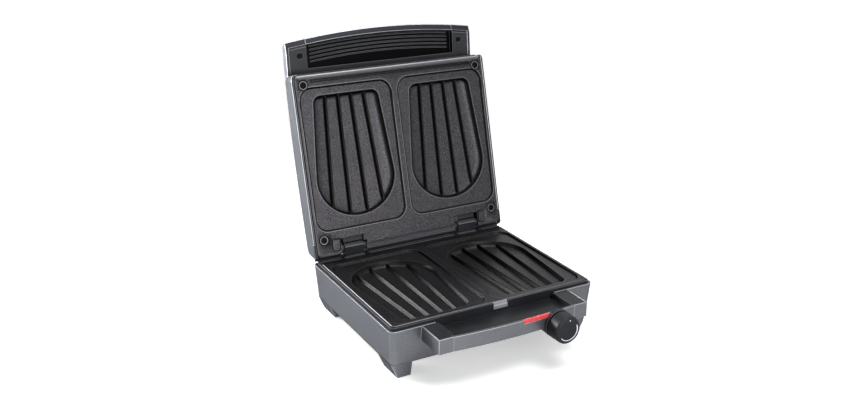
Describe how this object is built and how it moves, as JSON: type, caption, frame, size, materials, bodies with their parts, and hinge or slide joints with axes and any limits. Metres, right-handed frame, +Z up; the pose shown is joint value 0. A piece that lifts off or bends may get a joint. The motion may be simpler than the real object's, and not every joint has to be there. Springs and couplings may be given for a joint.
{
  "type": "sandwich toaster",
  "caption": "Sandwich toaster with fan-ribbed baking plates, a rear-hinged lid, bowed front grips, an indicator lens and a turning thermostat knob.",
  "frame": {"origin": "middle of the open toaster's bounding box, on the table", "axes": "+Z up, -Y towards the front handle and knob, +Y towards the hinge, +X to the right seen from the front"},
  "size_m": [0.262, 0.3485, 0.3197],
  "materials": {
    "metallic_grey_shell": "satin metallic grey lacquer",
    "black_plastic": "fine matt grain",
    "knob_black": "smooth satin",
    "nonstick_plate": "speckled non-stick coating",
    "zinc_steel": "zinc plated",
    "dark_steel": "blackened",
    "element_sheath": "heat darkened",
    "reflector_sheet": "plain sheet",
    "spout_grey": "satin",
    "foot_rubber": "matt",
    "red_lens": "glossy translucent red",
    "lamp_glass": "clear",
    "thermostat_ceramic": "unglazed",
    "terminal_cream": "plain"
  },
  "bodies": {
    "base": {"base_shell": "metallic_grey_shell", "bottom_cover": "black_plastic", "cover_screws": "zinc_steel", "foot_pads": "foot_rubber", "base_bezel": "black_plastic", "drip_spout": "spout_grey", "lower_plate": "nonstick_plate", "lower_plate_screws": "zinc_steel", "lower_element": "element_sheath", "lower_reflector": "reflector_sheet", "thermal_fuse": "thermostat_ceramic", "terminal_block": "terminal_cream", "cord_inlet": "foot_rubber", "handle_tray": "black_plastic", "handle_bar": "metallic_grey_shell", "indicator_lens": "red_lens", "neon_lamp": "lamp_glass", "knob_collar": "black_plastic", "thermostat_housing": "black_plastic", "thermostat": "thermostat_ceramic", "hinge_towers": "black_plastic", "hinge_pins": "zinc_steel"},
    "lid": {"lid_shell": "metallic_grey_shell", "lid_bezel": "black_plastic", "upper_plate": "nonstick_plate", "upper_plate_screws": "dark_steel", "upper_element": "element_sheath", "upper_reflector": "reflector_sheet", "shield_screws": "zinc_steel", "lid_handle_insert": "black_plastic", "lid_handle_trim": "metallic_grey_shell", "lid_handle_screws": "dark_steel", "lid_hinge_ears": "black_plastic"},
    "knob": {"knob": "knob_black", "thermostat_shaft": "zinc_steel"}
  },
  "joints": [
    {"name": "lid_hinge", "type": "hinge", "parent": "base", "child": "lid", "pos_m": [0, 0.0896, 0.0713], "axis": [1, 0, 0], "range_deg": [0, 105.1]},
    {"name": "knob_turn", "type": "hinge", "parent": "base", "child": "knob", "pos_m": [0.0512, -0.1587, 0.0456], "axis": [0, 1, 0], "range_deg": [0, 290]}
  ]
}
